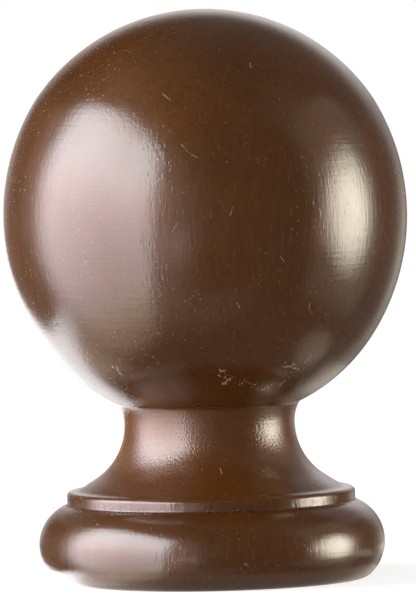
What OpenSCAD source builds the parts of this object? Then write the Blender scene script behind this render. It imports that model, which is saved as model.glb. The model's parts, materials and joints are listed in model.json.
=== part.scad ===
// Ball finial turned from one piece of wood: a ball over a hollow neck, a
// straight fillet and a half-round bead that is faced flat as the foot.
// Millimetres. The origin is the centre of the foot, with +Z up the axis.

/* [Bead] */
// Widest diameter of the bead
bead_d = 51.5; // [48:0.1:62]
// Radius of the bead's half-round section
bead_r = 6.6; // [5.6:0.1:8]
// Depth faced off the round of the bead to leave the flat foot
foot_cut = 1.2; // [0.6:0.1:2.4]
// Radius that eases the edge of the foot
foot_edge_r = 2; // [0.4:0.1:2.4]

/* [Fillet] */
// Diameter of the straight fillet above the bead
fillet_d = 42.9; // [36:0.1:46]
// Height of the fillet above the crease where it leaves the bead
fillet_h = 2.4; // [1.2:0.1:5]
// Radius that rounds the fillet's top edge
fillet_edge_r = 0.9; // [0.3:0.1:1.1]
// Width of the flat on top of the fillet, outside the neck
fillet_land = 0.3; // [0.1:0.1:1]

/* [Neck] */
// Diameter of the waist, the thinnest place
waist_d = 25.3; // [18:0.1:30]
// Radius of the wide hollow between the fillet and the waist
hollow_r = 9.6; // [8:0.1:13]
// Radius of the tighter throat between the waist and the ball
throat_r = 6; // [4:0.1:9]
// Arc of the throat, in degrees, until it meets the ball in a sharp crease
throat_arc = 30; // [15:1:45]

/* [Ball] */
// Widest diameter of the ball
ball_d = 60; // [50:0.1:75]
// Radius of the belt, flatter than a true ball
belt_r = 33; // [30:0.1:40]
// Arc of the belt above the widest place, in degrees
belt_above = 30; // [20:1:38]
// Arc of the belt below the widest place, in degrees
belt_below = 33; // [22:1:40]
// Radius of the shoulder between the belt and the crown
shoulder_r = 19; // [14:0.1:24]
// Arc of the shoulder, in degrees
shoulder_arc = 5.5; // [3:0.1:10]
// Radius of the underside, which runs in to the neck
under_r = 27.5; // [22:0.1:30]

/* [Fixing hole] */
// Diameter of the blind hole for a screw stud
hole_d = 6; // [4:0.1:10]
// Depth of its straight part, from the foot
hole_depth = 30; // [15:0.5:40]
// Chamfer at its mouth
hole_chamfer = 1; // [0.3:0.1:2]
// Included angle of the drill point, in degrees
drill_angle = 118; // [90:1:140]

/* [Hidden] */
$fn = 180;
wood_colour = "#432516";
// Tighter arcs stand this much proud of the flatter ones that they blend
blend_lap = 0.002;
// Angle by which those arcs run on under their neighbours
blend_arc = 5;
// Depth by which one shape runs into the next
overlap = 0.5;

// A point at an angle on a circle
function on_circle(centre, radius, angle) = centre + radius * [cos(angle), sin(angle)];

// Bead: foot_cut of its round lies below the foot, whose edge touches it inside
bead_c = [bead_d / 2 - bead_r, bead_r - foot_cut];
foot_edge_angle = asin((foot_edge_r - bead_c.y) / (bead_r - foot_edge_r));
foot_edge_c = on_circle(bead_c, bead_r - foot_edge_r, foot_edge_angle);

// Fillet: it springs from the crease where its face leaves the bead
fillet_r = fillet_d / 2;
crease_reach = min(bead_r, fillet_r - bead_c.x);
fillet_z = bead_c.y + sqrt(pow(bead_r, 2) - pow(crease_reach, 2));
fillet_top_z = fillet_z + fillet_h;

// Neck: the hollow runs out on the fillet's top, inside the land
waist_r = waist_d / 2;
hollow_foot_r = fillet_r - fillet_edge_r - fillet_land;
waist_z = fillet_top_z + sqrt(pow(hollow_r, 2) - pow(waist_r + hollow_r - hollow_foot_r, 2));
throat_c = [waist_r + throat_r, waist_z];
throat_top = on_circle(throat_c, throat_r, 180 - throat_arc);

// Ball: the arcs below, measured from the centre of the ball's widest circle
belt_x = ball_d / 2 - belt_r;
under_at = on_circle([belt_x, 0], belt_r - under_r, -belt_below);
under_drop = sqrt(pow(under_r, 2) - pow(throat_top.x - under_at.x, 2)) - under_at.y;
ball_z = throat_top.y + under_drop;
belt_c = [belt_x, ball_z];
under_c = [under_at.x, ball_z + under_at.y];
shoulder_c = on_circle(belt_c, belt_r - shoulder_r, belt_above);
crown_angle = belt_above + shoulder_arc;
crown_r = shoulder_r + shoulder_c.x / cos(crown_angle);
crown_c = [0, shoulder_c.y - shoulder_c.x * tan(crown_angle)];

// The part of a disc between two angles, on the near side of the axis
module sector(centre, radius, from, to) {
    reach = 2 * radius;
    rays = [for (i = [0:4]) on_circle(centre, reach, from + (to - from) * i / 4)];
    difference() {
        intersection() {
            translate(centre) circle(r = radius);
            polygon(concat([centre], rays));
        }
        translate([-reach, centre.y - reach]) square([reach, 2 * reach]);
    }
}

module bead_profile() {
    difference() {
        union() {
            sector(bead_c, bead_r, foot_edge_angle, 180);
            translate(foot_edge_c) circle(r = foot_edge_r + blend_lap);
            square([foot_edge_c.x, bead_c.y + overlap]);
        }
        translate([0, -bead_r]) square([bead_d, bead_r]);
    }
}

module fillet_profile() {
    foot_depth = fillet_z - bead_c.y;
    translate([0, fillet_z]) {
        translate([0, -foot_depth]) square([fillet_r, foot_depth + fillet_h - fillet_edge_r]);
        square([fillet_r - fillet_edge_r, fillet_h]);
        translate([fillet_r - fillet_edge_r, fillet_h - fillet_edge_r]) circle(r = fillet_edge_r);
    }
}

// The tool that turns the neck: a wide hollow up to the waist and a tighter throat above
module neck_cutter() {
    translate([waist_r, waist_z]) {
        intersection() {
            translate([hollow_r, 0]) circle(r = hollow_r);
            translate([0, -2 * hollow_r]) square(2 * hollow_r);
        }
        intersection() {
            translate([throat_r, 0]) circle(r = throat_r);
            square(2 * throat_r);
        }
    }
}

module neck_profile() {
    difference() {
        translate([0, fillet_top_z - overlap])
            square([hollow_foot_r + fillet_land, throat_top.y - fillet_top_z + 2 * overlap]);
        neck_cutter();
    }
}

module ball_profile() {
    sector(crown_c, crown_r, crown_angle, 90);
    sector(shoulder_c, shoulder_r + blend_lap, belt_above - blend_arc, crown_angle + blend_arc);
    sector(belt_c, belt_r, -belt_below, belt_above);
    sector(under_c, under_r + blend_lap, -90, blend_arc - belt_below);
    // The core, which holds the arcs together at their centres
    translate([0, throat_top.y]) square([under_c.x + overlap, under_drop + overlap]);
    translate([0, ball_z]) square([shoulder_c.x, shoulder_c.y - ball_z] + [overlap, overlap]);
}

// Half of the blind hole, with the chamfer at its mouth and the drill's point
module hole_profile() {
    hole_r = hole_d / 2;
    polygon([
        [0, -hole_chamfer],
        [hole_r + 2 * hole_chamfer, -hole_chamfer],
        [hole_r, hole_chamfer],
        [hole_r, hole_depth],
        [0, hole_depth + hole_r / tan(drill_angle / 2)],
    ]);
}

// Half of the section through the axis, which stays beside the axis and above the foot
module finial_profile() {
    difference() {
        union() {
            bead_profile();
            fillet_profile();
            neck_profile();
            ball_profile();
        }
        hole_profile();
    }
}

module finial() {
    color(wood_colour) rotate_extrude() finial_profile();
}

finial();
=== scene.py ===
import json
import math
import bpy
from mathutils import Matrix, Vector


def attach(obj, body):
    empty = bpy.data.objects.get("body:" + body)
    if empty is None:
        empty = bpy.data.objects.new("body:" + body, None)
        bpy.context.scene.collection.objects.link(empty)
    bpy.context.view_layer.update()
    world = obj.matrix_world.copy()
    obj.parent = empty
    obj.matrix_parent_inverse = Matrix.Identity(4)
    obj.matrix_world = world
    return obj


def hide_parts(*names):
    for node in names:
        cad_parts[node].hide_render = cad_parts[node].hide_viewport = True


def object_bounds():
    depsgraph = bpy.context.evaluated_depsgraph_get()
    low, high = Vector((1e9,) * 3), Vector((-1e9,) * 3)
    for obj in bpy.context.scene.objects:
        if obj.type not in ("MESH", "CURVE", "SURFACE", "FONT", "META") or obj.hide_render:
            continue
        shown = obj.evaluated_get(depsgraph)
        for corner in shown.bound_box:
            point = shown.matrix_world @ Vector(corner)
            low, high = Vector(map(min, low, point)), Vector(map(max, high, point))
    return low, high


bl_info = {
    "name": "Turned Ball Finial",
    "version": (1, 0, 0),
    "blender": (4, 5, 0),
    "location": "View3D > Sidebar > Finial",
    "description": "Turns a ball finial, finishes it in stained and lacquered wood, and lights it",
    "category": "Add Mesh",
}

import bmesh
import bpy
from mathutils import Matrix, Vector
from mathutils.bvhtree import BVHTree

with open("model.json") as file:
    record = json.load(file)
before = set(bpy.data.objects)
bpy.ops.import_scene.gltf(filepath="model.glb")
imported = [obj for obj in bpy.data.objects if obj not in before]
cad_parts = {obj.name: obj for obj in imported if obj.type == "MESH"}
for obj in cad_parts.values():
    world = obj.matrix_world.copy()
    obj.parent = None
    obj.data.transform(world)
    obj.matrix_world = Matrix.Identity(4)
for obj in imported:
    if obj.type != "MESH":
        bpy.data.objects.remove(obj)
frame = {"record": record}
cad_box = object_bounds()
MM = 0.001

# What the frame gives, in millimetres: the ball is its widest part, and the hole is one of its mounts
BALL_WIDTH = round((cad_box[1][0] - cad_box[0][0]) / MM, 1)
hole = next(mount for mount in frame["record"]["mounts"] if mount["name"] == "fixing_hole")
HOLE_WIDTH = 2 * hole["dims"]["r_mm"]
HOLE_FROM = round(hole["pos_m"][2] / MM - hole["dims"]["length_mm"] / 2, 2)
HOLE_TO = HOLE_FROM + hole["dims"]["length_mm"]


# ---------------------------------------------------------------- properties


def length(name, description, millimetres):
    """A size property, given in millimetres and kept in metres."""
    return bpy.props.FloatProperty(
        name=name, description=description, default=millimetres * MM, min=0, unit="LENGTH", precision=4
    )


def angle(name, description, degrees):
    """An angle property, given in degrees."""
    return bpy.props.FloatProperty(
        name=name, description=description, default=math.radians(degrees), subtype="ANGLE"
    )


def tint(name, description, colour):
    """A colour property, in linear light."""
    return bpy.props.FloatVectorProperty(
        name=name, description=description, default=colour, min=0, max=1, size=3, subtype="COLOR"
    )


def amount(name, description, value):
    """A plain number."""
    return bpy.props.FloatProperty(name=name, description=description, default=value, min=0)


class FinialSizes(bpy.types.PropertyGroup):
    """The sizes of the turned outline"""

    bead_d: length("Bead width", "Widest diameter of the bead", 51.5)
    bead_r: length("Bead radius", "Radius of the bead's half-round section", 6.6)
    foot_cut: length("Foot cut", "Depth faced off the bead to leave the flat foot", 1.2)
    foot_edge_r: length("Foot edge", "Radius that eases the edge of the foot", 2)
    fillet_d: length("Fillet width", "Diameter of the straight fillet", 42.9)
    fillet_h: length("Fillet height", "Height of the fillet above its crease", 2.4)
    fillet_edge_r: length("Fillet edge", "Radius that rounds the fillet's top edge", 0.75)
    fillet_land: length("Fillet land", "Flat on top of the fillet, outside the neck, as drawn", 0.45)
    land_drop: length("Land drop", "How far sanding has brought the land down", 0.46)
    waist_d: length("Waist", "Diameter of the thinnest place", 25.3)
    hollow_r: length("Hollow radius", "Radius of the wide hollow below the waist", 9.6)
    hollow_arc: angle("Hollow arc", "Arc of the hollow, before it runs out straight to the land", 57)
    throat_r: length("Throat radius", "Radius of the tighter throat above the waist", 6)
    throat_arc: angle("Throat arc", "Arc of the throat up to the ball", 30)
    ball_d: length("Ball width", "Widest diameter of the ball", BALL_WIDTH)
    belt_r: length("Belt radius", "Radius of the belt round the ball's widest place", 33)
    belt_above: angle("Belt above", "Arc of the belt above the widest place", 30)
    belt_below: angle("Belt below", "Arc of the belt below the widest place", 33)
    shoulder_r: length("Shoulder radius", "Radius between the belt and the crown", 19)
    shoulder_arc: angle("Shoulder arc", "Arc of the shoulder", 5.5)
    under_r: length("Underside radius", "Radius of the ball's underside", 27.5)
    hole_d: length("Hole width", "Diameter of the fixing hole", HOLE_WIDTH)
    hole_depth: length("Hole depth", "Depth of the hole's straight part", HOLE_TO)
    hole_chamfer: length("Hole chamfer", "Chamfer at the hole's mouth", HOLE_FROM)
    drill_angle: angle("Drill point", "Included angle of the drill point", 118)
    lacquer_web: length("Lacquer in the creases", "How far lacquer fills the sharp creases", 0.22)
    land_wear: length("Worn land", "How far the corner of the land is sanded round", 0.5)
    around: bpy.props.IntProperty(name="Segments", description="Segments round the axis", default=240, min=16)


class FinialFinish(bpy.types.PropertyGroup):
    """The colours and gloss of the wood"""

    stain: tint("Stain", "Dark brown stain in the open", (0.079, 0.0270, 0.0056))
    stain_warm: tint("Warm stain", "Thin stain, where the wood glows through", (0.106, 0.0350, 0.0064))
    stain_glow: tint("Glowing stain", "Stain round the neck, where it is thinnest", (0.122, 0.0400, 0.0072))
    stain_deep: tint("Deep stain", "Stain where it lies thick, and in the pores", (0.050, 0.0178, 0.0043))
    # Painted shade: a near-black colour for the chips along the fillet's crease
    chip_and_shade: tint("Chip", "Stain gathered in the chips at the fillet's foot", (0.014, 0.007, 0.003))
    end_pore: tint("End-grain pores", "Open pores in the face of the foot", (0.012, 0.006, 0.003))
    dust: tint("Dust", "Dust and scuffed lacquer", (0.54, 0.41, 0.26))
    chalk: tint("Chalk", "Lacquer scuffed white", (0.66, 0.58, 0.48))
    bare_wood: tint("Bare wood", "Unstained wood inside the drilled hole", (0.36, 0.205, 0.105))
    roughness: amount("Roughness", "Roughness of the satin lacquer", 0.18)


class FinialStage(bpy.types.PropertyGroup):
    """The studio round the finial"""

    distance: length("Camera distance", "From the axis to the camera", 1900)
    height: length("Camera height", "Height of the camera above the floor", 155.6)
    aim_across: length("Aim across", "How far right of the axis the camera looks", 0.16)
    aim_height: length("Aim height", "Height of the point looked at", 41.6)
    roll: angle("Camera roll", "Turn of the camera about its own axis", 1.2)
    lens: bpy.props.FloatProperty(name="Lens", description="Focal length", default=768.6, unit="CAMERA")
    key: amount("Key lamp", "Power of the soft lamp on the left, in watts", 23)
    front: amount("Front lamp", "Power of the soft lamp in front, in watts", 5)
    fill: amount("Fill lamp", "Power of the soft lamp on the right, in watts", 9)
    ambient: amount("Ambient", "Strength of the plain light from all round", 0.17)
    ambient_below: amount("Ambient below", "Strength of the plain light on the foot", 0.9)
    pale: amount("Side brightness", "How bright the floor and the walls look to the sides", 0.88)


# ------------------------------------------------------------- node plumbing

FLOAT, VECTOR = "NodeSocketFloat", "NodeSocketVector"


class Nodes:
    """Adds nodes to a tree and joins them, from left to right."""

    def __init__(self, tree):
        self.tree = tree
        self.count = 0

    def add(self, kind, settings=None, **sockets):
        """Makes a node; a socket's value may be a number, a colour or another node's output."""
        node = self.tree.nodes.new(kind)
        node.location = (200 * (self.count // 6), -220 * (self.count % 6))
        self.count += 1
        for key, value in (settings or {}).items():
            setattr(node, key, value)
        for key, value in sockets.items():
            self.put(self.socket(node, key), value)
        return node

    def socket(self, node, key):
        """Finds an input by its number (as i0, i1 ...) or its name with _ for spaces."""
        if key[0] == "i" and key[1:].isdigit():
            return node.inputs[int(key[1:])]
        return node.inputs[key.replace("_", " ")]

    def put(self, socket, value):
        """Links an output to a socket, or sets the socket's value; a colour is given as three numbers."""
        if isinstance(value, bpy.types.NodeSocket):
            self.tree.links.new(value, socket)
        elif socket.type == "RGBA":
            socket.default_value = (*value, 1.0)
        else:
            socket.default_value = value

    def math(self, operation, a, b=0.0, c=0.0, clamp=False):
        """Works out a number from up to three others."""
        node = self.add("ShaderNodeMath", {"operation": operation, "use_clamp": clamp}, i0=a, i1=b, i2=c)
        return node.outputs[0]

    def times(self, first, *others):
        """Multiplies numbers, from left to right."""
        for other in others:
            first = self.math("MULTIPLY", first, other)
        return first

    def plus(self, first, *others):
        """Adds numbers, from left to right."""
        for other in others:
            first = self.math("ADD", first, other)
        return first

    def minus(self, a, b):
        """Takes b from a."""
        return self.math("SUBTRACT", a, b)

    def vector(self, operation, a, b=(0, 0, 0)):
        """Works out a vector, or a number, from one or two vectors."""
        node = self.add("ShaderNodeVectorMath", {"operation": operation}, i0=a, i1=b)
        return node.outputs["Value" if operation in ("LENGTH", "DOT_PRODUCT", "DISTANCE") else "Vector"]

    def scaled(self, vector, factor):
        """Multiplies a vector or a colour by a number."""
        return self.add("ShaderNodeVectorMath", {"operation": "SCALE"}, i0=vector, Scale=factor).outputs[0]

    def split(self, vector):
        """The X, Y and Z of a vector."""
        return self.add("ShaderNodeSeparateXYZ", Vector=vector).outputs[:]

    def join(self, x, y, z):
        """A vector of three numbers."""
        return self.add("ShaderNodeCombineXYZ", X=x, Y=y, Z=z).outputs[0]

    def ramp(self, value, low, high, to_low=0.0, to_high=1.0):
        """Takes value smoothly from low..high to to_low..to_high."""
        node = self.add("ShaderNodeMapRange", {"interpolation_type": "SMOOTHSTEP"}, Value=value)
        ends = {"From Min": low, "From Max": high, "To Min": to_low, "To Max": to_high}
        for key, number in ends.items():
            self.put(node.inputs[key], number)
        return node.outputs[0]

    def mix(self, share, a, b):
        """Mixes two colours: all a at a share of 0, and all b at 1."""
        node = self.add("ShaderNodeMix", {"data_type": "RGBA"}, i0=share, i6=a, i7=b)
        return node.outputs[2]

    def noise(self, vector, scale=1.0, detail=2.0, roughness=0.5):
        """Cloudy noise from 0 to 1, most of it from 0.3 to 0.7."""
        kind = "ShaderNodeTexNoise"
        return self.add(kind, Vector=vector, Scale=scale, Detail=detail, Roughness=roughness).outputs[0]

    def stretch(self, vector, scale, location=(0, 0, 0)):
        """Scales a place along each axis, and moves it."""
        return self.add("ShaderNodeMapping", Vector=vector, Scale=scale, Location=location).outputs[0]

    def cells(self, vector):
        """Distance to the nearest random point, and that point's own random number."""
        node = self.add("ShaderNodeTexVoronoi", Vector=vector, Scale=1.0)
        lot = self.add("ShaderNodeSeparateColor", Color=node.outputs["Color"]).outputs[0]
        return node.outputs["Distance"], lot

    def group(self, tree, **sockets):
        """Places a node group, and gives its outputs."""
        return self.add("ShaderNodeGroup", {"node_tree": tree}, **sockets).outputs

    def bump(self, shader, height):
        """Gives a shader relief, with its height in millimetres."""
        bump = self.add("ShaderNodeBump", Strength=1.0, Distance=MM, Height=height)
        self.put(shader.inputs["Normal"], bump.outputs[0])


def new_group(name, inputs, outputs):
    """A node group with named sockets: the group, its helper, what it is given and what it puts out."""
    tree = bpy.data.node_groups.new(name, "ShaderNodeTree")
    for label, kind, default in inputs:
        socket = tree.interface.new_socket(name=label, in_out="INPUT", socket_type=kind)
        if default is not None:
            socket.default_value = default
    for label in outputs:
        tree.interface.new_socket(name=label, in_out="OUTPUT", socket_type=FLOAT)
    nodes = Nodes(tree)
    return tree, nodes, nodes.add("NodeGroupInput").outputs, nodes.add("NodeGroupOutput").inputs


def grain_group():
    """Fibres, growth rings and open pores of wood with its grain along Z. All sizes are in millimetres."""
    tree, n, given, out = new_group(
        "Wood grain",
        [
            ("Position", VECTOR, None),
            ("Pore spacing", FLOAT, 0.42),
            ("Pore length", FLOAT, 2.6),
            ("Ring width", FLOAT, 2.6),
        ],
        ["Fibre", "Ring", "Cloud", "Pore", "Pore shade"],
    )
    at = given["Position"]
    n.put(out["Fibre"], n.noise(n.stretch(at, (1.9, 1.9, 0.2)), detail=1.5))
    n.put(out["Cloud"], n.noise(n.stretch(at, (0.055, 0.055, 0.03))))
    # Rings lie round a pith that is well off the turning axis, and wander up the grain. Each darkens
    # slowly outwards and ends sharply
    bent = n.noise(n.stretch(at, (0.05, 0.05, 0.018), (3, 7, 1)), detail=1.0)
    from_pith = n.vector("LENGTH", n.stretch(at, (1, 1, 0), (38, -21, 0)))
    ring = n.math("FRACT", n.plus(n.math("DIVIDE", from_pith, given["Ring width"]), n.times(bent, 5.0)))
    n.put(out["Ring"], n.times(ring, n.ramp(ring, 1.0, 0.86)))
    # Pores are long cells that sway a little from side to side
    across = n.math("DIVIDE", 1.0, given["Pore spacing"])
    along = n.math("DIVIDE", 1.0, given["Pore length"])
    squash = n.join(across, across, along)
    wander = n.add("ShaderNodeTexNoise", Vector=at, Scale=0.25, Detail=1.0).outputs["Color"]
    swayed = n.vector("ADD", at, n.vector("MULTIPLY", wander, (0.9, 0.9, 0.0)))
    distance, lot = n.cells(n.vector("MULTIPLY", swayed, squash))
    reach = n.ramp(lot, 0.0, 1.0, 0.2, 0.46)
    n.put(out["Pore"], n.ramp(distance, reach, 0.0))
    n.put(out["Pore shade"], lot)
    return tree


def nib_group():
    """Grains caught in lacquer, of uneven sizes. Spacing and Size are in millimetres."""
    tree, n, given, out = new_group(
        "Dust nibs", [("Position", VECTOR, None), ("Spacing", FLOAT, 1.9), ("Size", FLOAT, 0.1)], ["Nib"]
    )
    distance, lot = n.cells(n.vector("DIVIDE", given["Position"], given["Spacing"]))
    share = n.math("DIVIDE", given["Size"], given["Spacing"])
    reach = n.times(share, n.ramp(lot, 0.0, 1.0, 0.35, 1.25))
    n.put(out["Nib"], n.ramp(distance, reach, n.times(reach, 0.5)))
    return tree


def turning_group():
    """Fine lines that turning and sanding leave round the axis, here and there. Pitch is in millimetres."""
    tree, n, given, out = new_group(
        "Turning marks", [("Position", VECTOR, None), ("Pitch", FLOAT, 0.5)], ["Height"]
    )
    fine = n.math("DIVIDE", 1.0, given["Pitch"])
    lines = n.noise(n.vector("MULTIPLY", given["Position"], n.join(0.12, 0.12, fine)), detail=1.5)
    here_and_there = n.ramp(n.noise(given["Position"], 0.09, 1.0), 0.38, 0.6, 0.25, 1.0)
    n.put(out["Height"], n.times(lines, here_and_there))
    return tree


def mark_group():
    """A mark with soft edges along the straight line from Start to End. All sizes are in millimetres."""
    tree, n, given, out = new_group(
        "Mark",
        [("Position", VECTOR, None), ("Start", VECTOR, None), ("End", VECTOR, None), ("Width", FLOAT, 0.2)],
        ["Mark"],
    )
    along = n.vector("SUBTRACT", given["End"], given["Start"])
    here = n.vector("SUBTRACT", given["Position"], given["Start"])
    reached = n.vector("DOT_PRODUCT", here, along)
    whole = n.vector("DOT_PRODUCT", along, along)
    nearest = n.scaled(along, n.math("DIVIDE", reached, whole, clamp=True))
    away = n.vector("DISTANCE", here, nearest)
    half = n.times(given["Width"], 0.5)
    n.put(out["Mark"], n.ramp(away, half, n.times(half, 0.3)))
    return tree


# --------------------------------------------------------------- the finial

# The width of the camera's sensor, in millimetres
SENSOR_WIDTH = 36
# The size of the photo that the marks in the lacquer are read from, in its pixels
PHOTO_WIDTH, PHOTO_HEIGHT = 416, 600
# Places of marks are pixels of that photo, across and down from its top left corner, as read off it.
# Widths are in millimetres. Scratches and flecks have a start, an end and a width
SCRATCHES = [
    ((163, 94), (170, 100), 0.3),
    ((154, 184), (172, 168), 0.14),
    ((181, 144), (188, 152), 0.16),
    ((188, 152), (198, 158), 0.16),
    ((178, 222), (172, 232), 0.14),
    ((237, 303), (240, 308), 0.2),
    ((310, 303), (309, 309), 0.2),
    ((309, 309), (312, 313), 0.18),
    ((280, 256), (284, 261), 0.22),
    ((233, 207), (230, 216), 0.2),
    ((250, 63), (251, 68), 0.28),
    ((220, 468), (222, 474), 0.22),
    ((245, 563), (248, 566), 0.26),
    ((225, 382), (231, 378), 0.24),
    ((267, 386), (269, 390), 0.24),
]
# Specks of dust: a place and a width
SPECKS = [
    ((219, 50), 0.3),
    ((279, 99), 0.28),
    ((93, 90), 0.26),
    ((168, 39), 0.26),
    ((302, 157), 0.26),
    ((227, 162), 0.3),
    ((299, 493), 0.32),
    ((289, 377), 0.3),
    ((291, 384), 0.34),
    ((308, 360), 0.28),
]
# A speck is a mark with next to no length
SPECK_LENGTH = Vector((0, 0, 0.05))
# The scuffed arc under the ball: a start, an end and a width
SCUFFS = [
    ((221, 366), (224, 384), 2.2),
    ((224, 384), (232, 377), 1.7),
    ((238, 382), (266, 388), 2.4),
    ((266, 388), (291, 381), 2.9),
    ((287, 364), (298, 372), 3.4),
    ((298, 372), (310, 357), 2.2),
    ((115, 366), (120, 375), 2.4),
]

# The slots of the finial's three materials
LACQUERED, FACED_OFF, DRILLED = range(3)
# Faces that meet more sharply than this keep a hard edge
SHARP = math.radians(32)
# A face this near to a surface belongs to it
NEAR = 0.05 * MM


def line_to(bm, tip, x, z, steps=1):
    """Extrudes the outline's last point in a straight line."""
    step = (Vector((x, 0, z)) - tip.co) / steps
    for _ in range(steps):
        tip = bmesh.ops.extrude_vert_indiv(bm, verts=[tip])["verts"][0]
        bmesh.ops.translate(bm, verts=[tip], vec=step)
    return tip


def arc_to(bm, tip, centre, turn, spacing=0.42 * MM):
    """Swings the outline's last point round a centre; a positive turn goes from +X towards +Z."""
    pivot = Vector((centre[0], 0, centre[1]))
    steps = max(4, round(abs(turn) * (tip.co - pivot).length / spacing))
    swept = bmesh.ops.spin(bm, geom=[tip], cent=pivot, axis=(0, -1, 0), angle=turn, steps=steps)
    return next(part for part in swept["geom_last"] if isinstance(part, bmesh.types.BMVert))


def polar(centre, radius, turn):
    """A point at an angle on a circle."""
    return (centre[0] + radius * math.cos(turn), centre[1] + radius * math.sin(turn))


def draw_outline(bm, s):
    """Half of the section through the axis, from the bottom of the hole round to the crown."""
    hole_r = s.hole_d / 2
    drill = hole_r / math.tan(s.drill_angle / 2)
    tip = bm.verts.new((0, 0, s.hole_depth + drill))
    tip = line_to(bm, tip, hole_r, s.hole_depth, steps=4)
    tip = line_to(bm, tip, hole_r, s.hole_chamfer, steps=24)
    tip = line_to(bm, tip, hole_r + s.hole_chamfer, 0, steps=2)

    bead = (s.bead_d / 2 - s.bead_r, s.bead_r - s.foot_cut)
    edge_turn = math.asin((s.foot_edge_r - bead[1]) / (s.bead_r - s.foot_edge_r))
    edge = polar(bead, s.bead_r - s.foot_edge_r, edge_turn)
    tip = line_to(bm, tip, edge[0], 0, steps=22)
    tip = arc_to(bm, tip, edge, edge_turn + math.pi / 2)

    fillet_r = s.fillet_d / 2
    crease_z = bead[1] + math.sqrt(s.bead_r**2 - (fillet_r - bead[0]) ** 2)
    crease_turn = math.atan2(crease_z - bead[1], fillet_r - bead[0])
    creases = [arc_to(bm, tip, bead, crease_turn - edge_turn)]
    land_z = crease_z + s.fillet_h - s.land_drop
    corner = (fillet_r - s.fillet_edge_r, land_z - s.fillet_edge_r)
    tip = line_to(bm, creases[0], fillet_r, corner[1], steps=4)
    tip = arc_to(bm, tip, corner, math.pi / 2, spacing=0.1 * MM)

    # The hollow is placed for the land as drawn, and runs on straight to the land as worn
    waist_r = s.waist_d / 2
    reach = waist_r + s.hollow_r - (fillet_r - s.fillet_edge_r - s.fillet_land)
    waist_z = crease_z + s.fillet_h + math.sqrt(s.hollow_r**2 - reach**2)
    hollow = (waist_r + s.hollow_r, waist_z)
    run_out = polar(hollow, s.hollow_r, math.pi + s.hollow_arc)
    land = line_to(bm, tip, run_out[0] + (run_out[1] - land_z) * math.tan(s.hollow_arc), land_z)
    tip = line_to(bm, land, *run_out, steps=4)
    tip = arc_to(bm, tip, hollow, -s.hollow_arc)
    throat = (waist_r + s.throat_r, waist_z)
    creases.append(arc_to(bm, tip, throat, -s.throat_arc, spacing=0.25 * MM))

    # The underside starts from the throat's end, which sets the height of the ball
    neck_top = creases[1].co.copy()
    belt_x = s.ball_d / 2 - s.belt_r
    under = polar((belt_x, 0), s.belt_r - s.under_r, -s.belt_below)
    drop = math.sqrt(s.under_r**2 - (neck_top.x - under[0]) ** 2)
    ball_z = neck_top.z + drop - under[1]
    under_turn = math.atan2(drop, neck_top.x - under[0])
    tip = arc_to(bm, creases[1], (under[0], ball_z + under[1]), under_turn - s.belt_below)
    tip = arc_to(bm, tip, (belt_x, ball_z), s.belt_below + s.belt_above)
    shoulder = polar((belt_x, ball_z), s.belt_r - s.shoulder_r, s.belt_above)
    tip = arc_to(bm, tip, shoulder, s.shoulder_arc)
    rise = s.belt_above + s.shoulder_arc
    crown = (0, shoulder[1] - shoulder[0] * math.tan(rise))
    tip = arc_to(bm, tip, crown, math.pi / 2 - rise)
    tip.co.x = 0
    return creases, land


def round_corner(bm, corner, offset):
    """Rounds one corner of the outline."""
    bmesh.ops.bevel(
        bm,
        geom=[corner],
        affect="VERTICES",
        offset=offset,
        segments=4,
        profile=0.5,
        material=-1,
        clamp_overlap=True,
    )


def turn_finial(s):
    """The finial's mesh, its outline spun round the axis, and its surface for marks to be laid on."""
    bm = bmesh.new()
    creases, land = draw_outline(bm, s)
    for crease in creases:
        round_corner(bm, crease, s.lacquer_web)
    round_corner(bm, land, s.land_wear)
    outline = bm.verts[:] + bm.edges[:]
    bmesh.ops.spin(
        bm, geom=outline, cent=(0, 0, 0), axis=(0, 0, 1), angle=2 * math.pi, steps=s.around, use_merge=True
    )
    bmesh.ops.remove_doubles(bm, verts=bm.verts[:], dist=0.002 * MM)
    bmesh.ops.recalc_face_normals(bm, faces=bm.faces[:])
    hole_r = s.hole_d / 2
    for face in bm.faces:
        face.smooth = True
        middle = face.calc_center_median()
        radius = math.hypot(middle.x, middle.y)
        if radius < hole_r + NEAR and middle.z < s.hole_depth + hole_r:
            face.material_index = DRILLED
        elif middle.z < NEAR or radius < hole_r + s.hole_chamfer and middle.z < s.hole_chamfer:
            face.material_index = FACED_OFF
        else:
            face.material_index = LACQUERED
    for edge in bm.edges:
        if len(edge.link_faces) == 2 and edge.calc_face_angle() > SHARP:
            edge.smooth = False
    surface = BVHTree.FromBMesh(bm)
    mesh = bpy.data.meshes.new("turned_finial")
    bm.to_mesh(mesh)
    bm.free()
    return mesh, surface


def camera_place(stage):
    """Where the camera is, and its axes: right, up and back."""
    place = Vector((0, -stage.distance, stage.height))
    back = (place - Vector((stage.aim_across, 0, stage.aim_height))).normalized()
    right = Vector((0, 0, 1)).cross(back).normalized()
    up = back.cross(right)
    c, s = math.cos(stage.roll), math.sin(stage.roll)
    return place, (c * right - s * up, s * right + c * up, back)


def on_wood(surface, stage, pixel):
    """The place on the wood that the camera sees at a pixel of the photo, in millimetres."""
    place, (right, up, back) = camera_place(stage)
    # The sensor's width takes the longer side of the photo
    pixel_width = SENSOR_WIDTH / stage.lens / max(PHOTO_WIDTH, PHOTO_HEIGHT)
    across = (pixel[0] - PHOTO_WIDTH / 2) * pixel_width
    above = (PHOTO_HEIGHT / 2 - pixel[1]) * pixel_width
    return surface.ray_cast(place, across * right + above * up - back)[0] / MM


def laid_on_wood(surface, stage, strokes):
    """Strokes with their two pixels turned into places on the wood."""
    return [
        (on_wood(surface, stage, start), on_wood(surface, stage, end), width)
        for start, end, width in strokes
    ]


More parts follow.
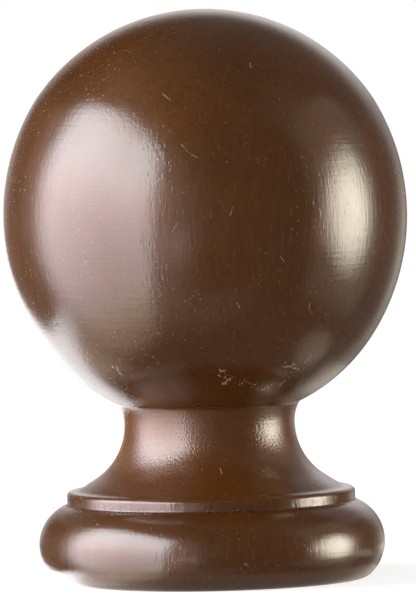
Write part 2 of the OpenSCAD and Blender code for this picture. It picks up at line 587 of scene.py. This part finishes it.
def new_material(name):
    """A node material: its helper, its Principled shader, and the place on the object in millimetres."""
    material = bpy.data.materials.new(name)
    material.use_nodes = True
    n = Nodes(material.node_tree)
    place = n.add("ShaderNodeTexCoord").outputs["Object"]
    return material, n, material.node_tree.nodes["Principled BSDF"], n.stretch(place, (1 / MM,) * 3)


def strongest_mark(n, group, at, strokes):
    """The strongest of many marks; each is compared as soon as it is made, which keeps the shader small."""
    most = 0.0
    for start, end, width in strokes:
        mark = n.group(group, Position=at, Start=start, End=end, Width=width)["Mark"]
        most = n.math("MAXIMUM", most, mark)
    return most


def lacquer_faults(n, groups, at, surface, stage):
    """Masks of what dust and use have left in the lacquer: nibs, motes, scratches and scuffs."""
    # The nibs are larger on the left, and in patches
    leftward = n.ramp(n.split(at)[0], -24, 6, 0.14, 0.082)
    in_patches = n.ramp(n.noise(at, 0.11), 0.36, 0.62, 0.45, 1.15)
    nib = n.group(groups["nib"], Position=at, Spacing=0.8, Size=n.times(leftward, in_patches))["Nib"]
    elsewhere = n.vector("ADD", at, (31, 17, 5))
    mote = n.group(groups["nib"], Position=elsewhere, Spacing=0.95, Size=0.056)["Nib"]

    scratches = laid_on_wood(surface, stage, SCRATCHES)
    for place, width in SPECKS:
        speck = on_wood(surface, stage, place)
        scratches.append((speck, speck + SPECK_LENGTH, width))
    scratch = strongest_mark(n, groups["mark"], at, scratches)
    scratch = n.times(scratch, n.ramp(n.noise(at, 3.1), 0.35, 0.6, 0.25, 1.0))

    # A scuff is a patch of pale grains that are largest in its middle
    rubbed = strongest_mark(n, groups["mark"], at, laid_on_wood(surface, stage, SCUFFS))
    rubbed = n.times(rubbed, n.ramp(n.noise(at, 0.7), 0.36, 0.6, 0.06, 0.22))
    flattened = n.stretch(at, (1.0, 1.0, 0.7))
    scuff = n.group(groups["nib"], Position=flattened, Spacing=0.36, Size=rubbed)["Nib"]
    return nib, mote, scratch, scuff


def lacquered_wood(finish, groups, surface, stage):
    """Dark stained wood under satin lacquer."""
    material, n, shader, at = new_material("lacquered_wood")
    grain = n.group(groups["grain"], Position=at)
    nib, mote, scratch, scuff = lacquer_faults(n, groups, at, surface, stage)
    turning = n.group(groups["turning"], Position=at)

    # Round the neck the wood is cut across the grain more steeply, and takes stain and lacquer unevenly
    up = n.split(at)[2]
    neck = n.times(n.ramp(up, 31, 27), n.ramp(up, 12, 14.5))
    # The lacquer is chipped along the crease at the fillet's foot. The chips are real dents, and their
    # near-black colour is painted shade
    crease = n.times(n.ramp(up, 11.2, 11.5), n.ramp(up, 13.2, 11.8))
    chip_and_shade = n.ramp(n.noise(n.stretch(at, (1.7, 1.7, 0.8)), detail=3.0, roughness=0.7), 0.54, 0.62)
    chip_and_shade = n.times(chip_and_shade, n.ramp(n.noise(at, 0.11, 1.0), 0.4, 0.56, 0.3, 1.0), crease)

    # Colour: each layer covers what comes before it by its share
    wood = n.mix(n.ramp(grain["Cloud"], 0.35, 0.68), finish.stain, finish.stain_warm)
    blotch = n.ramp(n.noise(at, 0.33, 4.0, 0.7), 0.44, 0.7, 0.0, 0.5)
    # Some pores are painted pale: partly dust in them, and partly a painted highlight where pores catch the
    # light
    pore_dust_and_glint = n.times(grain["Pore"], n.ramp(grain["Pore shade"], 0.8, 0.9, 0.0, 0.11))
    for share, colour in (
        (blotch, finish.stain_warm),
        (n.ramp(grain["Fibre"], 0.42, 0.72, 0.0, 0.34), finish.stain_deep),
        (n.times(grain["Ring"], 0.16), finish.stain_deep),
        (n.times(grain["Pore"], 0.45), finish.stain_deep),
        (pore_dust_and_glint, finish.dust),
        (n.ramp(neck, 0.0, 1.0, 0.0, 0.4), finish.stain_glow),
        # Painted shade: the chips along the crease are coloured near black
        (n.times(chip_and_shade, 0.85), finish.chip_and_shade),
        (n.times(nib, 0.44), finish.dust),
        (n.times(mote, 0.34), finish.dust),
        (n.times(scratch, 0.5), finish.dust),
        (n.times(scuff, 0.5), finish.chalk),
    ):
        wood = n.mix(share, wood, colour)
    n.put(shader.inputs["Base Color"], wood)

    # Gloss, duller where the lacquer is marked and at the top of the neck
    patchy = n.ramp(n.noise(at, 0.16, 3.0), 0.3, 0.7, finish.roughness - 0.025, finish.roughness + 0.035)
    dull = n.times(n.math("MAXIMUM", scratch, scuff), 0.12)
    dull = n.plus(dull, n.times(neck, n.ramp(up, 15, 18, 0.0, 0.06)))
    n.put(shader.inputs["Roughness"], n.plus(patchy, dull))

    # Relief, in millimetres: the lacquer's slow waves and orange peel, the wood's grain under it, and
    # what stands on it or is missing from it
    waves = n.times(n.noise(at, 0.62), 0.004)
    orange_peel = n.times(n.noise(at, 3.3, 1.0), n.ramp(neck, 0.0, 1.0, 0.007, 0.044))
    fibres = n.times(grain["Fibre"], n.ramp(neck, 0.0, 1.0, 0.016, 0.008))
    rings = n.times(turning["Height"], 0.022)
    pores = n.times(grain["Pore"], -0.009)
    nibs = n.times(nib, 0.014)
    chips = n.times(chip_and_shade, -0.016)
    n.bump(shader, n.plus(waves, orange_peel, fibres, rings, pores, nibs, chips))
    shader.inputs["IOR"].default_value = 1.5
    return material


def foot_wood(finish, groups):
    """The faced-off foot: end grain that drank the stain, with no gloss."""
    material, n, shader, at = new_material("foot_end_grain")
    grain = n.group(groups["grain"], Position=at)
    scratched = n.noise(n.stretch(at, (0.3, 5, 5)), detail=3.0, roughness=0.7)
    wood = n.mix(grain["Ring"], finish.stain, finish.stain_deep)
    wood = n.mix(n.ramp(grain["Cloud"], 0.4, 0.7, 0.0, 0.5), wood, finish.stain_warm)
    wood = n.mix(n.times(grain["Pore"], 0.8), wood, finish.end_pore)
    wood = n.mix(n.ramp(scratched, 0.56, 0.7, 0.0, 0.35), wood, finish.dust)
    n.put(shader.inputs["Base Color"], wood)
    n.put(shader.inputs["Roughness"], n.ramp(scratched, 0.3, 0.7, 0.5, 0.68))
    n.bump(shader, n.minus(n.times(scratched, 0.01), n.times(grain["Pore"], 0.04)))
    return material


def bore_wood(finish, groups):
    """The drilled wall: bare wood, rough and pale, with the drill's turns in it."""
    material, n, shader, at = new_material("drilled_wood")
    grain = n.group(groups["grain"], Position=at)
    turns = n.noise(n.stretch(at, (0.2, 0.2, 3.2)))
    darker = [0.62 * part for part in finish.bare_wood]
    wood = n.mix(n.ramp(grain["Fibre"], 0.3, 0.7), finish.bare_wood, darker)
    wood = n.mix(n.ramp(turns, 0.45, 0.7, 0.0, 0.4), wood, finish.stain_warm)
    n.put(shader.inputs["Base Color"], wood)
    n.put(shader.inputs["Roughness"], n.ramp(turns, 0.3, 0.7, 0.7, 0.85))
    n.bump(shader, n.times(turns, 0.06))
    return material


class FINIAL_OT_turn(bpy.types.Operator):
    """Turn the finial in one piece, and stain and lacquer it"""

    bl_idname = "finial.turn"
    bl_label = "Turn Finial"
    bl_options = {"REGISTER", "UNDO"}

    def execute(self, context):
        finish = context.scene.finial_finish
        mesh, surface = turn_finial(context.scene.finial_sizes)
        groups = {
            "grain": grain_group(),
            "nib": nib_group(),
            "turning": turning_group(),
            "mark": mark_group(),
        }
        mesh.materials.append(lacquered_wood(finish, groups, surface, context.scene.finial_stage))
        mesh.materials.append(foot_wood(finish, groups))
        mesh.materials.append(bore_wood(finish, groups))
        piece = bpy.data.objects.new("turned_finial", mesh)
        context.scene.collection.objects.link(piece)
        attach(piece, "root")
        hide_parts("finial")
        return {"FINISHED"}


# ---------------------------------------------------------------- the studio

# Sizes of the stage, in metres
FLOOR_RADIUS = 12
TENT_RADIUS = 3
TENT_HEIGHT = 0.05
LAMP_HEIGHT = 0.054
LAMP_DISTANCE = 1.2

# What the lacquer mirrors. Places and half sizes are in degrees, as azimuth (0 in front, 90 on the
# right) and elevation. Levels are in units of a white wall, and colours only tint them.
# The left softbox is measured across (u) and up (v) as on a flat card one unit away
LEFT_AZIMUTH = -76
LEFT_UP = [
    (-1.75, 0.9), (-1.2, 2.3), (-0.84, 4.1), (-0.58, 5.3), (-0.36, 6.6), (-0.18, 7.9), (0, 9.2),
    (0.2, 11.7), (0.4, 13.9), (0.75, 14.0), (1.1, 12.0),
]
LEFT_ACROSS = [(-0.85, 0.84), (-0.45, 1.0), (-0.1, 1.06), (0.3, 0.95), (0.7, 0.88), (1.05, 0.76)]
LEFT_FOOT_COLOUR = (1.0, 0.89, 0.75)
LEFT_LOW_COLOUR = (1.02, 0.94, 1.0)
LEFT_HIGH_COLOUR = (0.97, 0.995, 1.05)
# The right softbox is a small round one, bowed to the right, in front of its own dimmer frame
RIGHT_BOX = {"azimuth": 90.2, "elevation": 0.2, "width": 14.6, "height": 17.4, "bow": 0.45}
RIGHT_LEVEL = 15.4
RIGHT_SOFTNESS = 0.6
RIGHT_TILT = 0.14
RIGHT_COLOUR = (1.0, 0.955, 0.80)
FRAME_AZIMUTH = 91
FRAME_ACROSS = (-0.48, 0.5)
FRAME_UP = (-0.7, 0.95)
FRAME_LEVEL = 0.55
FRAME_SOFTNESS = 0.12
# Faint round glows on the cloth: azimuth, elevation, half width, half height, level, colour. One
# with a level below 0 is a shadow
GLOWS = [
    (173, 16.5, 34, 17.5, 1.05, (1.0, 0.965, 0.935)),
    (156, -8, 16, 20, 0.5, (1.0, 0.92, 0.74)),
    (160, -28, 17, 14, 0.35, (1.0, 0.86, 0.62)),
    (180, 3, 13, 9, 0.9, (0.97, 0.97, 1.0)),
    (-164, 1, 15, 10, 0.45, (1.0, 0.97, 0.97)),
    (152, -4, 17, 16, 0.2, (1.0, 0.93, 0.8)),
    (75, 50, 30, 17, 0.16, (1.0, 0.95, 0.9)),
    (-112, 4, 23, 44, 0.75, (1.0, 0.95, 0.95)),
    (-80, 57, 38, 20, 0.34, (1.0, 0.95, 0.95)),
    (-152, 32, 28, 36, -0.16, (1.0, 1.0, 1.0)),
    (-30, -2, 33, 54, 1.45, (1.0, 0.95, 0.95)),
    (-16, -12, 7.5, 12, 1.7, (0.95, 0.97, 1.0)),
    (-12, -48, 42, 18, 0.35, (1.0, 0.95, 0.95)),
]
# The lit plinth behind on the left: the elevations of its far and near edges, and its level, each
# with the angle from straight behind round to the left
PLINTH_FAR = [(0, 1), (10, -4), (20, -11), (30, -19), (40, -25), (50, -27), (60, -28), (80, -28)]
PLINTH_NEAR = [(0, -27), (10, -32), (20, -37), (30, -41), (40, -46), (50, -53), (60, -58), (80, -60)]
PLINTH_LEVEL = [(0, 1.2), (10, 1.9), (20, 2.6), (30, 3.4), (40, 4.6), (50, 5.2), (60, 4.3), (80, 2.6)]
PLINTH_COLOUR = (0.985, 0.985, 1.02)
PLINTH_SHADED_COLOUR = (1.0, 0.88, 0.68)
# The unlit cloth: its level, and how much that grows to the right and upwards
UNLIT_LEVEL, UNLIT_RIGHTWARD, UNLIT_UPWARD = 0.205, -0.013, -0.025
UNLIT_COLOUR = (1.0, 0.955, 0.92)


def outward(azimuth, elevation):
    """The direction from the finial to a place round it."""
    az, el = math.radians(azimuth), math.radians(elevation)
    return Vector((math.sin(az) * math.cos(el), -math.cos(az) * math.cos(el), math.sin(el)))


def facing(azimuth, elevation):
    """A lamp's place round the finial, looking at it."""
    out = outward(azimuth, elevation)
    turn = out.to_track_quat("Z", "Y").to_matrix().to_4x4()
    return Matrix.Translation(out * LAMP_DISTANCE + Vector((0, 0, LAMP_HEIGHT))) @ turn


def stage_object(name, bm, hidden_from):
    """An object of the stage, made from a bmesh, that some kinds of ray don't meet."""
    mesh = bpy.data.meshes.new(name)
    bm.to_mesh(mesh)
    bm.free()
    thing = bpy.data.objects.new(name, mesh)
    bpy.context.scene.collection.objects.link(thing)
    for ray in hidden_from:
        setattr(thing, "visible_" + ray, False)
    return thing


def stage_material(thing, name):
    """A bare node material for an object of the stage: the material, its helper and its surface socket."""
    material = bpy.data.materials.new(name)
    material.use_nodes = True
    tree = material.node_tree
    tree.nodes.remove(tree.nodes["Principled BSDF"])
    thing.data.materials.append(material)
    return material, Nodes(tree), tree.nodes["Material Output"].inputs[0]


def shows_background(n):
    """1 for the rays that see how bright the background is: the camera's, and those off gloss and glass."""
    seen = n.add("ShaderNodeLightPath").outputs
    bare = n.math("MAXIMUM", seen["Is Camera Ray"], seen["Is Glossy Ray"])
    return n.math("MAXIMUM", bare, seen["Is Transmission Ray"])


def white_floor(stage):
    """The floor: white behind the object, with its soft shadow kept, and clear from below."""
    bm = bmesh.new()
    bmesh.ops.create_circle(bm, cap_ends=True, segments=96, radius=FLOOR_RADIUS)
    floor = stage_object("floor", bm, ["glossy"])

    material, n, surface = stage_material(floor, "white_floor")
    place = n.add("ShaderNodeTexCoord").outputs["Object"]
    away = n.vector("LENGTH", place)
    x, y, _ = n.split(place)
    # White where the camera looks, and pale grey to the sides, where a bright rim has to show against
    # it. The white strip is 70 mm wide on each side of the axis, and widens with the view behind it
    widening = n.times(n.math("MAXIMUM", y, 0.0), 0.03)
    aside = n.minus(n.math("ABSOLUTE", x), widening)
    strip = n.times(n.ramp(aside, 0.15, 0.07), n.ramp(y, -0.5, -0.3))
    # Near the foot the lamps light the floor as well, so there its own brightness is less
    lift = n.times(n.ramp(away, 0.1, 0.28, 0.76, 1.0), n.ramp(strip, 0, 1, stage.pale, 1.0))
    # Further off the lamps make pools on the floor, which the camera doesn't see
    camera_ray = n.add("ShaderNodeLightPath").outputs["Is Camera Ray"]
    pools = n.times(camera_ray, n.ramp(away, 0.12, 0.34))
    colour = n.mix(pools, (0.6, 0.6, 0.6), (0.0, 0.0, 0.0))
    matt = n.add("ShaderNodeBsdfDiffuse", Color=colour).outputs[0]
    own = n.times(shows_background(n), lift)
    glow = n.add("ShaderNodeEmission", Color=(1, 1, 1), Strength=own).outputs[0]
    lit = n.add("ShaderNodeAddShader", i0=matt, i1=glow).outputs[0]
    clear = n.add("ShaderNodeBsdfTransparent").outputs[0]
    from_below = n.add("ShaderNodeNewGeometry").outputs["Backfacing"]
    n.put(surface, n.add("ShaderNodeMixShader", i0=from_below, i1=lit, i2=clear).outputs[0])
    material.cycles.emission_sampling = "NONE"


def white_room(stage):
    """The world: white behind the object, pale grey to the sides, and a plain light from all round."""
    world = bpy.data.worlds.new("white_room")
    bpy.context.scene.world = world
    world.use_nodes = True
    n = Nodes(world.node_tree)
    x, y, z = n.split(n.add("ShaderNodeTexCoord").outputs["Generated"])
    # Only the foot looks down through the floor, and it needs light to be seen by
    ambient = n.ramp(z, -0.02, -0.2, stage.ambient, stage.ambient_below)
    behind = n.times(n.ramp(n.math("ABSOLUTE", x), 0.12, 0.06), n.ramp(y, 0.0, 0.1))
    strength = n.add("ShaderNodeMapRange", Value=shows_background(n))
    n.put(strength.inputs["To Min"], ambient)
    n.put(strength.inputs["To Max"], n.ramp(behind, 0, 1, stage.pale, 1.0))
    background = world.node_tree.nodes["Background"]
    n.put(background.inputs["Color"], (1, 1, 1))
    n.put(background.inputs["Strength"], strength.outputs[0])


def on_card(n, way, azimuth, elevation):
    """Where a direction meets a flat card one unit away that faces the finial: across and up."""
    ahead = n.vector("DOT_PRODUCT", way, outward(azimuth, elevation))
    depth = n.math("MAXIMUM", ahead, 0.001)
    axes = (outward(azimuth + 90, 0), outward(azimuth, elevation + 90))
    return [n.math("DIVIDE", n.vector("DOT_PRODUCT", way, axis), depth) for axis in axes]


def round_glow(n, way, azimuth, elevation, width, height, bow=0.0, inner=0.0, outer=1.0):
    """A soft round patch of light, its ends bent to the right by its bow: its level, and how far up it is."""
    u, v = on_card(n, way, azimuth, elevation)
    u = n.minus(u, n.times(v, v, bow))
    u = n.math("DIVIDE", u, math.tan(math.radians(width)))
    v = n.math("DIVIDE", v, math.tan(math.radians(height)))
    return n.ramp(n.vector("LENGTH", n.join(u, v, 0.0)), outer, inner), v


def curve(n, value, points):
    """A value that runs in straight steps through (place, level) points."""
    places, levels = zip(*points)
    low, high = min(levels), max(levels)
    share = n.add("ShaderNodeMapRange", Value=value)
    share.inputs["From Min"].default_value = places[0]
    share.inputs["From Max"].default_value = places[-1]
    ramp = n.add("ShaderNodeValToRGB", Fac=share.outputs[0])
    stops = ramp.color_ramp.elements
    while len(stops) < len(points):
        stops.new(0.5)
    for stop, place, level in zip(stops, places, levels):
        stop.position = (place - places[0]) / (places[-1] - places[0])
        stop.color = ((level - low) / (high - low),) * 3 + (1,)
    return n.math("MULTIPLY_ADD", ramp.outputs[0], high - low, low)


def left_softbox(n, way):
    """One tall card with a bright upper half, cut off by the plinth low down: its level and colour."""
    u, v = on_card(n, way, LEFT_AZIMUTH, 0)
    level = n.times(curve(n, v, LEFT_UP), curve(n, u, LEFT_ACROSS))
    # Its right end slants inwards on the way down, and low down more so
    lean = n.times(n.math("MINIMUM", n.plus(v, 0.4), 0.0), 0.22)
    right_end = n.minus(n.minus(u, lean), n.times(v, 0.08))
    # Each of its edges, from where it is dark to where it is fully lit
    for place, dark, lit in ((u, -0.92, -0.36), (right_end, 1.12, 0.94), (v, 1.25, 0.88), (v, -2.1, -1.4)):
        level = n.times(level, n.ramp(place, dark, lit))
    # Its top right corner is cut off
    level = n.times(level, n.ramp(n.plus(u, n.times(v, 1.3)), 2.75, 1.85))
    # It is weaker at the upper left, and low down it is stronger to the right
    weaker = n.times(n.ramp(v, 0.1, 0.6), n.ramp(u, 0.1, -0.5, 0.0, 0.16))
    level = n.times(level, n.minus(1.0, weaker))
    stronger = n.times(u, 0.6, n.ramp(v, -0.3, -0.9))
    level = n.times(level, n.plus(stronger, 1.0))
    colour = n.mix(n.ramp(v, 0.15, 0.6), LEFT_LOW_COLOUR, LEFT_HIGH_COLOUR)
    return level, n.mix(n.ramp(v, -0.55, -1.05), colour, LEFT_FOOT_COLOUR)


def right_softbox(n, way):
    """A small round softbox that is a little brighter at the top: its level and colour."""
    near, rise = round_glow(n, way, **RIGHT_BOX, inner=1 - RIGHT_SOFTNESS, outer=1 + RIGHT_SOFTNESS)
    return n.times(near, RIGHT_LEVEL, n.plus(n.times(rise, RIGHT_TILT), 1.0)), RIGHT_COLOUR


def right_frame(n, way):
    """The dim frame behind the right softbox: its level and colour."""
    u, v = on_card(n, way, FRAME_AZIMUTH, 0)
    level = FRAME_LEVEL
    for place, (low, high) in ((u, FRAME_ACROSS), (v, FRAME_UP)):
        level = n.times(level, n.ramp(place, low - FRAME_SOFTNESS, low + FRAME_SOFTNESS))
        level = n.times(level, n.ramp(place, high + FRAME_SOFTNESS, high - FRAME_SOFTNESS))
    return level, RIGHT_COLOUR


def plinth(n, way):
    """The lit plinth that the underside of the ball sees past the bead: level and colour, lit and shaded."""
    x, y, z = n.split(way)
    elevation = n.math("DEGREES", n.math("ARCSINE", z))
    round_back = n.math("DEGREES", n.math("ARCTAN2", n.times(x, -1.0), y))
    past_far = n.minus(elevation, curve(n, round_back, PLINTH_FAR))
    past_near = n.minus(elevation, curve(n, round_back, PLINTH_NEAR))
    lit = n.times(curve(n, round_back, PLINTH_LEVEL), n.ramp(elevation, -40, -34))
    shaded = n.times(n.ramp(round_back, 28, 40, 0.0, 1.3), n.ramp(elevation, -34, -40))
    strip = n.times(n.ramp(past_far, 2, -2), n.ramp(past_near, -3, 3))
    strip = n.times(strip, n.times(n.ramp(round_back, 0, 8), n.ramp(round_back, 80, 62)))
    return [(n.times(strip, lit), PLINTH_COLOUR), (n.times(strip, shaded), PLINTH_SHADED_COLOUR)]


def unlit_cloth(n, way):
    """The rest of the tent: its level and colour."""
    x, _, z = n.split(way)
    level = n.plus(n.times(x, UNLIT_RIGHTWARD), n.plus(n.times(z, UNLIT_UPWARD), UNLIT_LEVEL))
    return level, UNLIT_COLOUR


def light_tent():
    """The tent that the lacquer mirrors: softboxes left and right, a plinth, and unlit cloth elsewhere."""
    bm = bmesh.new()
    bmesh.ops.create_uvsphere(bm, u_segments=32, v_segments=16, radius=TENT_RADIUS)
    bmesh.ops.reverse_faces(bm, faces=bm.faces[:])
    bmesh.ops.translate(bm, verts=bm.verts[:], vec=(0, 0, TENT_HEIGHT))
    tent = stage_object("light_tent", bm, ["camera", "diffuse", "transmission", "volume_scatter", "shadow"])

    material, n, surface = stage_material(tent, "lit_cloth")
    place = n.stretch(n.add("ShaderNodeTexCoord").outputs["Object"], (1, 1, 1), (0, 0, -TENT_HEIGHT))
    way = n.vector("NORMALIZE", place)
    parts = [left_softbox(n, way), right_softbox(n, way), right_frame(n, way)]
    for azimuth, elevation, width, height, level, colour in GLOWS:
        near, _ = round_glow(n, way, azimuth, elevation, width, height)
        parts.append((n.times(near, level), colour))
    parts += [*plinth(n, way), unlit_cloth(n, way)]
    light = (0, 0, 0)
    for level, colour in parts:
        light = n.vector("ADD", light, n.scaled(colour, level))
    n.put(surface, n.add("ShaderNodeEmission", Color=light, Strength=1.0).outputs[0])
    material.cycles.emission_sampling = "NONE"


def glow_card(name, bm):
    """A card that only the lacquer mirrors: its helper, its surface socket, and the place in millimetres."""
    card = stage_object(name, bm, ["camera", "diffuse", "transmission", "shadow"])
    _, n, surface = stage_material(card, name)
    place = n.stretch(n.add("ShaderNodeTexCoord").outputs["Object"], (1 / MM,) * 3)
    return n, surface, place


def light_card(n, surface, level, colour):
    """Lights a card, and leaves it clear where it isn't lit."""
    glow = n.add("ShaderNodeEmission", Color=colour, Strength=level).outputs[0]
    clear = n.add("ShaderNodeBsdfTransparent").outputs[0]
    n.put(surface, n.add("ShaderNodeAddShader", i0=clear, i1=glow).outputs[0])


def floor_card():
    """Where the floor is lit close by: round the foot, and in a band and a spot on the right."""
    bm = bmesh.new()
    bmesh.ops.create_circle(bm, cap_ends=True, segments=96, radius=160 * MM)
    bmesh.ops.translate(bm, verts=bm.verts[:], vec=(0, 0, 0.02 * MM))
    n, surface, place = glow_card("floor_card", bm)
    x, y, _ = n.split(place)
    # The glow in front of the bead is stronger and whiter on the left
    foot = n.ramp(n.vector("LENGTH", place), 27.8, 25.8, 0.0, 0.42)
    leftward = n.ramp(x, -3, -22)
    foot = n.plus(foot, n.times(foot, n.times(leftward, 3.5)))
    band = n.times(n.ramp(x, 25, 29), n.ramp(x, 49, 42, 0.0, 0.55))
    band = n.times(band, n.times(n.ramp(y, 14, 28), n.ramp(y, 150, 110)))
    from_spot = n.vector("DISTANCE", place, (46, -4, 0))
    level = n.plus(foot, n.math("MAXIMUM", band, n.ramp(from_spot, 16, 9, 0.0, 0.9)))
    light_card(n, surface, level, n.mix(leftward, (1.0, 0.91, 0.76), (1.0, 0.97, 1.0)))


def shelf_card():
    """A pale card level with the neck, lit underneath, which the flare above the fillet mirrors."""
    bm = bmesh.new()
    bmesh.ops.create_grid(bm, x_segments=1, y_segments=1, size=100 * MM)
    bmesh.ops.translate(bm, verts=bm.verts[:], vec=(0, 0, 30 * MM))
    n, surface, place = glow_card("shelf_card", bm)
    x, y, _ = n.split(place)
    level = n.times(n.ramp(n.math("ABSOLUTE", x), 60, 46, 0.0, 0.24), n.ramp(y, -6, 4), n.ramp(y, 62, 50))
    underneath = n.add("ShaderNodeNewGeometry").outputs["Backfacing"]
    light_card(n, surface, n.times(level, underneath), (0.97, 0.97, 1.0))


def lamps(stage):
    """Plain soft light that shades the wood but isn't mirrored."""
    for name, watts, azimuth, elevation, width, colour in (
        ("key_lamp", stage.key, -84, 14, 0.9, (1.0, 0.99, 0.99)),
        ("front_lamp", stage.front, -7, 8, 0.7, (1.0, 0.99, 0.98)),
        ("fill_lamp", stage.fill, 97, 6, 0.7, (1.0, 0.98, 0.95)),
    ):
        data = bpy.data.lights.new(name, "AREA")
        data.shape = "SQUARE"
        data.size = width
        data.energy = watts
        data.color = colour
        lamp = bpy.data.objects.new(name, data)
        lamp.matrix_world = facing(azimuth, elevation)
        lamp.visible_glossy = False
        lamp.visible_camera = False
        bpy.context.scene.collection.objects.link(lamp)


def camera(stage):
    """A long lens a little above the finial's middle, turned slightly about its own axis."""
    place, axes = camera_place(stage)
    data = bpy.data.cameras.new("camera")
    data.sensor_width = SENSOR_WIDTH
    data.lens = stage.lens
    data.clip_start = 0.05
    data.clip_end = 60
    eye = bpy.data.objects.new("camera", data)
    eye.matrix_world = Matrix.Translation(place) @ Matrix(axes).transposed().to_4x4()
    bpy.context.scene.collection.objects.link(eye)
    bpy.context.scene.camera = eye


class FINIAL_OT_stage(bpy.types.Operator):
    """Set up the white floor, the softboxes, the lamps and the camera"""

    bl_idname = "finial.stage"
    bl_label = "Light Finial"
    bl_options = {"REGISTER", "UNDO"}

    def execute(self, context):
        stage = context.scene.finial_stage
        context.scene.view_settings.view_transform = "Standard"
        white_floor(stage)
        white_room(stage)
        light_tent()
        floor_card()
        shelf_card()
        lamps(stage)
        camera(stage)
        return {"FINISHED"}


class FINIAL_PT_panel(bpy.types.Panel):
    """Sizes, finish and studio of the finial"""

    bl_idname = "FINIAL_PT_panel"
    bl_label = "Turned Ball Finial"
    bl_space_type = "VIEW_3D"
    bl_region_type = "UI"
    bl_category = "Finial"

    def draw(self, context):
        for group, operator in (
            (context.scene.finial_sizes, None),
            (context.scene.finial_finish, FINIAL_OT_turn.bl_idname),
            (context.scene.finial_stage, FINIAL_OT_stage.bl_idname),
        ):
            box = self.layout.box()
            for name in group.__annotations__:
                box.prop(group, name)
            if operator:
                box.operator(operator)


CLASSES = (FinialSizes, FinialFinish, FinialStage, FINIAL_OT_turn, FINIAL_OT_stage, FINIAL_PT_panel)


def register():
    for cls in CLASSES:
        bpy.utils.register_class(cls)
    bpy.types.Scene.finial_sizes = bpy.props.PointerProperty(type=FinialSizes)
    bpy.types.Scene.finial_finish = bpy.props.PointerProperty(type=FinialFinish)
    bpy.types.Scene.finial_stage = bpy.props.PointerProperty(type=FinialStage)


def unregister():
    del bpy.types.Scene.finial_stage
    del bpy.types.Scene.finial_finish
    del bpy.types.Scene.finial_sizes
    for cls in reversed(CLASSES):
        bpy.utils.unregister_class(cls)


def main():
    """Turns and lights the finial."""
    register()
    bpy.ops.finial.turn()
    bpy.ops.finial.stage()


if __name__ == "__main__":
    main()
